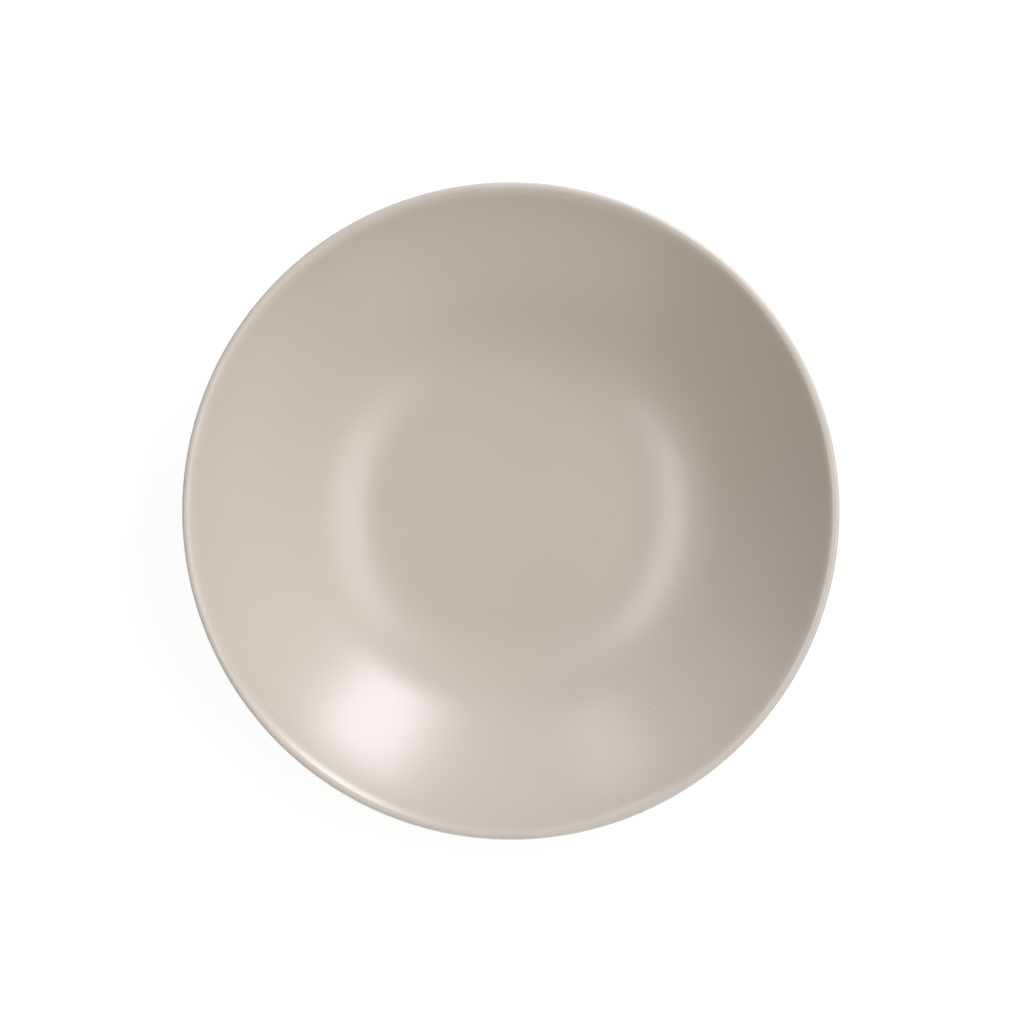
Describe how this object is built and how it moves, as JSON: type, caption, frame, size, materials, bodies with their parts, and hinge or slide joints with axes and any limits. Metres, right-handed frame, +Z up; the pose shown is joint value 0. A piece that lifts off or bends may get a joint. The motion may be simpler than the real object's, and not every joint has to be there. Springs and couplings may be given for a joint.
{
  "type": "deep plate",
  "caption": "Round coupe deep plate in satin-glazed stoneware with a flat well, a flared wall, a round lip and a bare foot ring; it holds soup, stew or pasta.",
  "frame": {"origin": "on the table, under the middle of the foot ring", "axes": "+Z up along the plate's axis, out of the well"},
  "size_m": [0.22, 0.22, 0.047],
  "materials": {
    "bare_stoneware": "bare fired clay, matt, with fine specks",
    "satin_glaze": "greige satin glaze, a little paler on the lip"
  },
  "bodies": {
    "root": {"stoneware_body": "bare_stoneware", "face_glaze": "satin_glaze", "outer_glaze": "satin_glaze", "base_glaze": "satin_glaze"}
  },
  "joints": []
}
